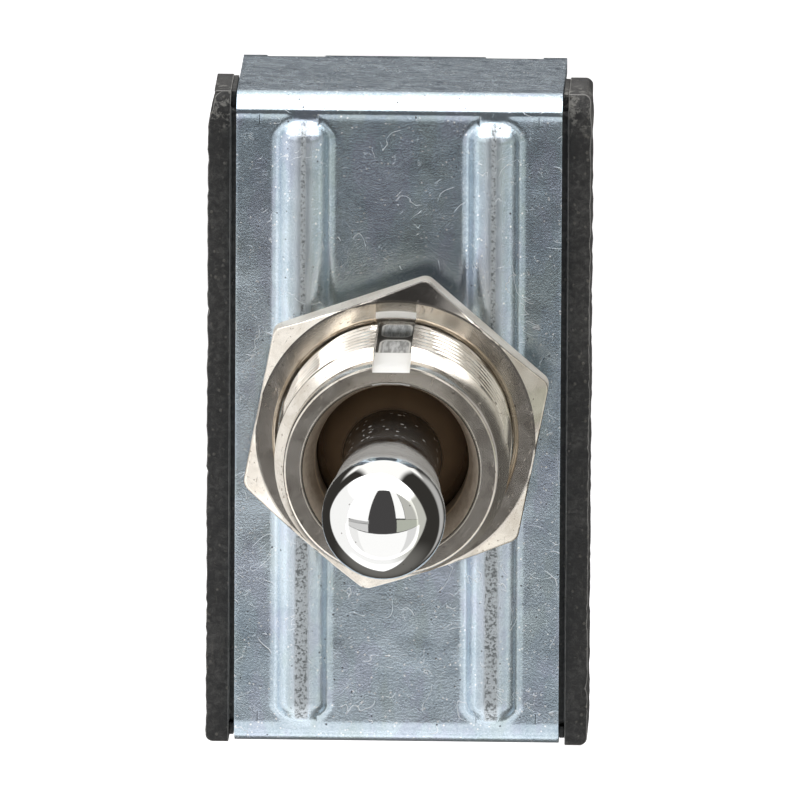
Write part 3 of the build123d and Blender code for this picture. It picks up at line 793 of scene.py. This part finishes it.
# the neck leaves the ball in a small round, and flares into the bat in a long sweep
neck_z = pivot + sqrt((ball_radius + neck_round) ** 2 - (neck_radius + neck_round) ** 2)
ball_turn = atan2(neck_z - pivot, neck_radius + neck_round)
tail_turn = acos(tail_radius / ball_radius)
outline = [(0, tail_end), (tail_radius - tail_round, tail_end)]
outline += [(tail_radius, tail_end + tail_round)]
outline += [(tail_radius, pivot - ball_radius * sin(tail_turn))]
for i in range(1, ball_steps + 1):
    turn = -tail_turn + (ball_turn + tail_turn) * i / ball_steps
    outline.append((ball_radius * cos(turn), pivot + ball_radius * sin(turn)))
for i in range(1, neck_steps + 1):
    turn = pi + ball_turn - ball_turn * i / neck_steps
    outline.append(
        (neck_radius + neck_round + neck_round * cos(turn), neck_z + neck_round * sin(turn))
    )
flare = (bat_radius - waist_radius) / (bat_z - waist_z)
draw = (waist_radius - neck_radius) / (waist_z - neck_z)
for i in range(1, flare_steps + 1):
    height = neck_z + (bat_z - neck_z) * i / flare_steps
    along = height - waist_z
    if abs(along) >= waist_sweep:
        radius = waist_radius + along * (flare if along > 0 else draw)
    else:
        t = (along + waist_sweep) / (2 * waist_sweep)
        radius = waist_radius + waist_sweep * (flare * t * t - draw * (1 - t) ** 2)
    outline.append((radius, height))
for i in range(1, end_steps + 1):
    turn = pi / 2 * i / end_steps
    radius = bat_radius * cos(turn) if i < end_steps else 0
    outline.append((radius, bat_z + bat_radius * sin(turn)))

# where the bat meets its round end, buffing has drawn the two into one soft shoulder
soft_low = bat_z - shoulder_depth
soft_high = bat_z + bat_radius * sin(shoulder_turn)
low_radius = bat_radius - flare * (bat_z - soft_low)
high_radius = bat_radius * cos(shoulder_turn)
outline = [p for p in outline if not soft_low < p[1] < soft_high or p[0] < bat_radius / 2]
run = soft_high - soft_low
for i in range(shoulder_steps + 1):
    t = i / shoulder_steps
    radius = (2 * t**3 - 3 * t**2 + 1) * low_radius + (3 * t**2 - 2 * t**3) * high_radius
    radius += (t**3 - 2 * t**2 + t) * run * flare - (t**3 - t**2) * run * tan(shoulder_turn)
    outline.append((radius, soft_low + run * t))
outline.sort(key=lambda p: p[1] if p[1] > soft_low - touch else 0)

lever = lathe("bat_lever", outline, chrome.material, lathe_steps)
smooth(lever, 40)
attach(lever, "lever")
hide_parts("toggle_lever")

# ======== case
# Compression moulded in black phenolic, with barriers between the terminals below and rails beside
# the bracket. Tumbling to clear the flash leaves its arrises dull, chipped and dusty.

arris = 0.16  # how far the tumbled edges are rounded
flange_foot, rail_top = 18.6, 23.5
rail_outer, rail_inner = 9.8, 8.55
rail_slice = 0.3  # how closely the worn outline is followed
mean_worn, most_worn = 0.03, 0.12
knocked_from, knocked_slope = 15.3, 0.26
end_slope, end_slope_run = 0.5, 0.95  # how the rails' back ends are broken off


def phenolic(name, wear):
    """Black moulding; `wear` says how far the surface has gone grey."""
    made = Finish(name, Metallic=0.0, IOR=1.55)
    place = made.place
    cloud = place.noise(0.25, 4, 0.6, 0.4)
    powder = place.noise(2.6, 5, 0.8, 0.5)
    fleck = place.cells(2.6).rise(0.30, 0.12) * place.noise(1.0, 3, 0.6).rise(0.46, 0.56)
    rub = place.turned((1, 0.16, 1)).noise(3.0, 4, 0.7).rise(0.58, 0.72)
    dust = (powder * 0.85 + cloud * 0.45 + wear * 0.22 - 0.41).rise(0.14, 0.52)
    high = 0.080 + 0.14 * wear
    shade = dust.tint((0.006, 0.006, 0.006), (high, high * 0.97, high * 0.93))
    shade = (rub * 0.5).tint(shade, (0.075, 0.07, 0.062))
    x, y, z = place.parts()
    knocked = y.rise(14.6, 15.8) * z.rise(20.0, 22.0)
    chalk = place.noise(2.1, 4, 0.7).rise(0.50, 0.60) * knocked
    shade = (chalk * 0.8).tint(shade, (0.20, 0.195, 0.18))
    shade = (fleck * (0.35 + 0.6 * wear)).tint(shade, (0.24, 0.225, 0.195))
    made.set(Base_Color=shade, Roughness=powder * 0.3 + 0.34)
    made.bump(powder * 1.0 + fleck * 0.7 - rub * 0.2, distance=0.06)
    return made.material


def tumbled(piece):
    """Wears the flange's outline unevenly, and knocks one of its corners off."""
    with mesh_of(piece) as shape:
        for step in spaced(-strip_length / 2, strip_length / 2, rail_slice)[1:]:
            near = []
            for rail in shape.faces:
                middle = rail.calc_center_median() / MM
                if abs(middle.x) > rail_inner - hair_gap and middle.z > flange_foot - 0.6:
                    near += [rail, *rail.edges, *rail.verts]
            bmesh.ops.bisect_plane(
                shape, geom=list(dict.fromkeys(near)),
                plane_co=(0, step * MM, 0), plane_no=(0, 1, 0),
            )
        for point in shape.verts:
            x, y, z = point.co / MM
            if z < flange_foot - 0.05 or abs(x) < rail_inner - hair_gap:
                continue
            if abs(x) > rail_outer - 0.3:
                uneven = noise.noise((x, y * 0.9, 0)) + noise.noise((x, y * 2.6, 5))
                gone = min(most_worn, max(0, mean_worn + uneven * 0.05))
                if z > rail_top - 0.3:
                    gone += max(0, noise.noise((x * 0.5, y * 1.9, 9)) - 0.2) * 0.2
                if x < 0:
                    gone += max(0, y - knocked_from) * knocked_slope
                point.co.x -= copysign(gone, x) * MM
            if z > rail_top - 0.5:
                point.co.z -= max(0, y - (strip_length / 2 - end_slope_run)) * end_slope * MM


def copied(node, name):
    """A copy of a solid, to be worked on."""
    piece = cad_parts[node].copy()
    piece.name = name
    piece.data = piece.data.copy()
    bpy.context.collection.objects.link(piece)
    return piece


def coated(piece, *materials):
    """Gives a piece its materials in place of those it has."""
    piece.data.materials.clear()
    for material in materials:
        piece.data.materials.append(material)


doubles = 0.002 * MM


def merge_flats(shape):
    """Makes one face of triangles that lie flat together."""
    bmesh.ops.dissolve_limit(shape, angle_limit=radians(1), verts=shape.verts, edges=shape.edges)


def dressed(node, name, width, *materials, worn=None):
    """A copy of a solid with its edges eased. A second material goes on those edges."""
    piece = copied(node, name)
    with mesh_of(piece) as shape:
        bmesh.ops.remove_doubles(shape, verts=shape.verts, dist=doubles)
        merge_flats(shape)
    coated(piece, *materials)
    easing = piece.modifiers.new("easing", "BEVEL")
    easing.width = width * MM
    easing.segments = 2
    easing.limit_method = "ANGLE"
    easing.angle_limit = radians(40)
    easing.material = len(materials) - 1
    settle(piece)
    if worn:
        worn(piece)
    smooth(piece, 30)
    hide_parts(node)
    return piece


phenolic_face = phenolic("phenolic", 0.0)
case = dressed(
    "case", "moulded_case", arris, phenolic_face, phenolic("phenolic_arris", 1.0), worn=tumbled
)
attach(case, "housing")

# four lugs of the same moulding close the notches beside the bracket's ears
lug_inner, lug_outer = strip_width / 2 + 0.04, rail_inner + 0.05
lug_start = 16.0
back_lug_end, front_lug_end = strip_length / 2 - 0.05, 16.6
lug_foot, lug_top = flange_foot + 0.1, rail_top - 0.15
box_sides = ((0, 1, 2, 3), (7, 6, 5, 4), (0, 4, 5, 1), (1, 5, 6, 2), (2, 6, 7, 3), (3, 7, 4, 0))
points, cells = [], []
for side in (-1, 1):
    for near, far in ((lug_start, back_lug_end), (-lug_start, -front_lug_end)):
        cells += [[len(points) + i for i in corners] for corners in box_sides]
        for z in (lug_foot, lug_top - end_slope * 0.9 * (far > 0)):
            points += [(side * lug_inner, near, z), (side * lug_outer, near, z)]
            points += [(side * lug_outer, far, z), (side * lug_inner, far, z)]
lugs = build("notch_lugs", points, cells, phenolic_face)
with mesh_of(lugs) as shape:
    bmesh.ops.recalc_face_normals(shape, faces=shape.faces)
ease(lugs, 0.05)
smooth(lugs)
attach(lugs, "housing")

# ======== insulator plate
# A blanked sheet of red vulcanised fibre under the bracket, which keeps the bushing's foot and the
# strip off the live parts. It lies loose in its seat in the case.

fibre = Finish("vulcanised_fibre", Roughness=0.75)
place = fibre.place
weave = place.turned((0.3, 3.0, 1)).noise(2.0, 5, 0.7)
mottle = place.noise(0.5, 4, 0.6)
tone = (weave * 0.6 + mottle * 0.5).rise(0.3, 0.8)
fibre.set(Base_Color=tone.tint((0.20, 0.07, 0.04), (0.42, 0.17, 0.10)))
fibre.bump(weave, distance=0.03)
plate = dressed("insulator_plate", "fibre_plate", 0.05, fibre.material)
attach(plate, "housing")

# ======== terminals
# Six tags blanked and folded from 0.8 mm brass strip, staked through slots in the case's floor. The
# two in the middle carry the knife edges on which the arms rock.

brass = Finish("brass_strip", Metallic=1.0)
place = brass.place
tarnish = place.noise(0.5, 5, 0.65, 0.8)
rolled = place.turned((4, 0.3, 1)).noise(2.0, 3, 0.6)
spot = place.cells(1.2).rise(0.12, 0.05)
tone = tarnish.rise(0.35, 0.7).tint((0.74, 0.56, 0.27), (0.52, 0.36, 0.16))
brass.set(Base_Color=spot.tint(tone, (0.24, 0.15, 0.07)), Roughness=tarnish * 0.25 + 0.14)
brass.bump(rolled + tarnish * 0.5, distance=0.008)

for node in sorted(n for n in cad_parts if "_terminal_" in n):
    tag = dressed(node, "brass_" + node, 0.07, brass.material)
    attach(tag, "housing")

# ======== terminal screws
# Six plated steel binding screws with slotted pan heads, one under each tag, run part way in from
# below. Each stops at its own turn.

screw_seed = 7
screw_pan = 3.0
screw_scatter = radians(75)

steel = Finish("plated_screw_steel", Metallic=1.0)
place = steel.place
mist = place.noise(0.8, 4, 0.6, 0.5)
turned = place.noise(6.0, 2, 0.6)
rust = place.noise(0.6, 5, 0.7, 1.0).rise(0.62, 0.72)
tone = mist.rise(0.3, 0.7).tint((0.48, 0.47, 0.44), (0.68, 0.67, 0.64))
steel.set(Base_Color=rust.tint(tone, (0.23, 0.16, 0.11)), Roughness=mist * 0.2 + rust * 0.2 + 0.12)
steel.bump(turned * 0.4 + mist * 0.6, distance=0.01)

# one screw, taken from the row of six and brought to the axis
low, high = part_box("terminal_screws")
at_x = high[0] - screw_pan * MM
at_y = high[1] - screw_pan * MM
template = copied("terminal_screws", "screw_template")
with mesh_of(template) as shape:
    bmesh.ops.remove_doubles(shape, verts=shape.verts, dist=doubles)
    others = [v for v in shape.verts if v.co.x < 0 or abs(v.co.y) > (screw_pan + 0.5) * MM]
    bmesh.ops.delete(shape, geom=others, context="VERTS")
    bmesh.ops.translate(shape, vec=(-at_x, 0, 0), verts=shape.verts)
    merge_flats(shape)
ease(template, 0.06, 40)
smooth(template, 30)

tree = bpy.data.node_groups.new("screws_in_place", "GeometryNodeTree")
for name, kind in (
    ("Places", "NodeSocketGeometry"),
    ("Screw", "NodeSocketObject"),
    ("Turn", "NodeSocketFloat"),
    ("Seed", "NodeSocketInt"),
    ("Plating", "NodeSocketMaterial"),
):
    tree.interface.new_socket(name, in_out="INPUT", socket_type=kind)
tree.interface.new_socket("Screws", in_out="OUTPUT", socket_type="NodeSocketGeometry")
given = tree.nodes.new("NodeGroupInput").outputs
result = tree.nodes.new("NodeGroupOutput").inputs


def geometry(kind, inputs, **settings):
    """Adds a Geometry Nodes node, its settings before its inputs, and gives its outputs."""
    made = tree.nodes.new(kind)
    for name, setting in settings.items():
        setattr(made, name, setting)
    fill(tree, made, inputs)
    return made.outputs


model = geometry("GeometryNodeObjectInfo", {"Object": given["Screw"]})
angle = geometry(
    "FunctionNodeRandomValue", {"Min": 0.0, "Max": given["Turn"], "Seed": given["Seed"]},
    data_type="FLOAT",
)
angle = next(s for s in angle if s.enabled)
turn = geometry("ShaderNodeCombineXYZ", {"Z": angle})
set_in = geometry(
    "GeometryNodeInstanceOnPoints",
    {"Points": given["Places"], "Instance": model["Geometry"], "Rotation": turn["Vector"]},
)
solid = geometry("GeometryNodeRealizeInstances", {"Geometry": set_in["Instances"]})
plated = geometry(
    "GeometryNodeSetMaterial", {"Geometry": solid["Geometry"], "Material": given["Plating"]}
)
tree.links.new(plated["Geometry"], result["Screws"])

places = [(x / MM, y / MM, 0) for x in (-at_x, at_x) for y in (-at_y, 0, at_y)]
screws = build("binding_screws", places, [], steel.material)
made = screws.modifiers.new("screws", "NODES")
made.node_group = tree
values = {"Screw": template, "Turn": screw_scatter, "Seed": screw_seed, "Plating": steel.material}
for item in tree.interface.items_tree:
    if item.in_out == "INPUT" and item.name in values:
        made[item.identifier] = values[item.name]
settle(screws)
bpy.data.objects.remove(template)
smooth(screws, 30)
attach(screws, "housing")
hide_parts("terminal_screws")

# ======== contacts and arms
# Two brass arms, folded from strip, rock on the knife edges of the middle tags and close on one end
# tag or the other. Silver rivets, set in the arms and in the end tags, take the arc.

silver = Finish("contact_silver", Metallic=1.0)
place = silver.place
tarnish = place.noise(1.5, 5, 0.65, 0.6)
arc = place.noise(3.5, 3, 0.7).rise(0.6, 0.7)
tone = tarnish.rise(0.35, 0.7).tint((0.86, 0.84, 0.80), (0.60, 0.56, 0.50))
silver.set(Base_Color=arc.tint(tone, (0.22, 0.20, 0.18)), Roughness=tarnish * 0.25 + 0.2)
silver.bump(tarnish + arc * 0.5, distance=0.01)


for node in ("fixed_contacts", "moving_contacts_left", "moving_contacts_right"):
    coated(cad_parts[node], silver.material)
for side in ("left", "right"):
    arm = dressed("contact_arm_" + side, "rocking_arm_" + side, 0.06, brass.material)
    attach(arm, side + "_arm")

# ======== carrier, plungers and springs
# The lever's tail pushes a moulded carrier, whose two sprung plungers tip the arms over centre. The
# plungers are drawn brass caps, each over a coil spring of hardened wire, and the lever swings on a
# ground steel pin.

resin = Finish("carrier_resin", Roughness=0.42)
place = resin.place
tone = place.noise(0.4, 4, 0.6, 0.5)
flow = place.turned((1, 1, 0.2)).noise(2.5, 4, 0.6)
tone = (tone * 0.7 + flow * 0.4).rise(0.3, 0.8)
resin.set(Base_Color=tone.tint((0.60, 0.54, 0.42), (0.80, 0.76, 0.66)))
resin.bump(flow, distance=0.02)

spring = Finish("spring_wire", Metallic=1.0)
place = spring.place
drawn = place.noise(5.0, 3, 0.6)
tone = drawn.rise(0.3, 0.7).tint((0.30, 0.30, 0.31), (0.52, 0.52, 0.53))
spring.set(Base_Color=tone, Roughness=drawn * 0.2 + 0.22)
spring.bump(drawn, distance=0.006)

pinned = Finish("pivot_steel", Metallic=1.0)
place = pinned.place
ground = place.turned((6, 0.4, 0.4)).noise(2.0, 3, 0.6)
tone = ground.rise(0.3, 0.7).tint((0.42, 0.42, 0.43), (0.62, 0.62, 0.62))
pinned.set(Base_Color=tone, Roughness=ground * 0.2 + 0.15)
pinned.bump(ground, distance=0.006)
coated(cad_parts["pivot_pin"], pinned.material)

block = dressed("carrier", "plunger_carrier", 0.08, resin.material)
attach(block, "lever")
for side in ("left", "right"):
    coated(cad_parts["plunger_" + side], brass.material)
    coil = dressed("plunger_spring_" + side, "coil_spring_" + side, 0.02, spring.material)
    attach(coil, "lever")
    # each spring gets a mesh of its own
    side + "_plunger_press"
    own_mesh(coil)

# ======== studio
# A white table under a ring of soft white panels, with the camera in the gap between them.
# Nothing here belongs to the switch.

camera_target = Vector((0.112, 1.137, face)) * MM
camera_toward = Vector((0.029, 0.2086, 0.9776)).normalized()
camera_distance = 1.3
camera_roll = radians(0.3)
view_width = 40.82 * MM

lens = bpy.data.cameras.new("camera")
lens.sensor_width = 36
lens.lens = lens.sensor_width * camera_distance / view_width
lens.clip_start, lens.clip_end = 0.1, 10
camera = bpy.data.objects.new("camera", lens)
bpy.context.collection.objects.link(camera)
right = Vector((0, 1, 0)).cross(camera_toward).normalized()
above = camera_toward.cross(right)
rolled_right = right * cos(camera_roll) + above * sin(camera_roll)
rolled_above = above * cos(camera_roll) - right * sin(camera_roll)
axes = Matrix((rolled_right, rolled_above, camera_toward)).transposed().to_4x4()
camera.matrix_world = Matrix.Translation(camera_target + camera_toward * camera_distance) @ axes
bpy.context.scene.camera = camera
bpy.context.scene.view_settings.view_transform = "Standard"

panel_height = 0.42


def panel(name, radiance, left, right, front, back, turn=0.0, colour=(1, 1, 1)):
    """A soft white panel overhead, facing down, between four edges in metres."""
    data = bpy.data.lights.new(name, "AREA")
    data.shape = "RECTANGLE"
    data.size, data.size_y = right - left, back - front
    data.energy = radiance * pi * data.size * data.size_y
    data.color = colour
    lamp = bpy.data.objects.new(name, data)
    bpy.context.collection.objects.link(lamp)
    lamp.location = ((left + right) / 2, (front + back) / 2, panel_height)
    lamp.rotation_euler.z = radians(turn)


panel("left_panel", 1.05, -1.1, -0.17, 0.065, 0.95, turn=-3.5)
panel("right_panel", 1.0, 0.182, 0.36, 0.085, 0.95)
panel("right_screen", 0.45, 0.37, 1.1, 0.07, 0.95, colour=(1, 1, 0.93))
panel("left_shade", 0.42, -1.1, -0.18, 0.005, 0.06)
panel("left_sill", 0.62, -1.1, -0.19, -0.108, 0.0)
panel("right_sill", 0.42, 0.19, 1.1, -0.108, 0.065, colour=(0.95, 1, 0.85))
panel("left_wing", 0.85, -1.3, -0.42, -1.2, -0.115)
panel("right_wing", 0.7, 0.42, 1.3, -1.2, -0.115)
panel("front_panel", 1.0, -0.42, 0.42, -1.2, -0.119)

world = bpy.data.worlds.new("studio")
world.use_nodes = True
tree = world.node_tree
# bright walls, whose foot climbs toward the sides, round a dark floor that turns pale at the back
way = Value(tree, tree.nodes.new("ShaderNodeTexCoord").outputs["Generated"])
across, back, up = way.parts()
aside = abs(across)
climb = (0 - back).maths("MAXIMUM", 0) * 0.55 + back.maths("MAXIMUM", 0) * 0.2
foot = across * 0.28 + aside * climb
wall = up.rise(0.40, 0.33) * (up - foot).rise(-0.36, -0.28)
front = across.rise(0.1, 0.7).tint((1.0, 1.0, 1.0), (0.55, 0.55, 0.51))
front = ((0 - back).rise(0.7, 0.9) * up.rise(0.1, -0.02)).tint(front, (1.5, 1.5, 1.5))
lit = back.rise(0.55, 0.8).tint(front, (3.2, 3.2, 3.2))
room = wall.tint((0.062, 0.06, 0.061), lit)
past = back.rise(0.30, 0.45) * up.rise(-0.70, -0.78).maths("MAXIMUM", aside.rise(0.46, 0.32))
past = past.maths("MAXIMUM", across.rise(0.3, 0.5) * up.rise(-0.66, -0.76) * 0.4)
ahead = (0 - back).rise(0.45, 0.9).tint((0.035, 0.033, 0.03), (0.16, 0.155, 0.145))
ground = past.tint(ahead, (1.1, 1.09, 1.07))
room = (up - foot).rise(-0.28, -0.36).tint(room, ground)
tree.links.new(room.socket, tree.nodes["Background"].inputs["Color"])
bpy.context.scene.world = world

table = Finish("white_table", Roughness=0.9, Emission_Color=(1, 1, 1, 1), Emission_Strength=0.65)
soft = table.place.noise(0.02, 2, 0.5)
table.set(Base_Color=soft.tint((0.94, 0.94, 0.94), (0.97, 0.97, 0.97)))
reach = 1500
corners = [(-reach, -reach, 0), (reach, -reach, 0), (reach, reach, 0), (-reach, reach, 0)]
floor = build("table_top", corners, [(0, 1, 2, 3)], table.material)
floor.visible_glossy = False  # the plating mirrors the dark lower half of the room instead
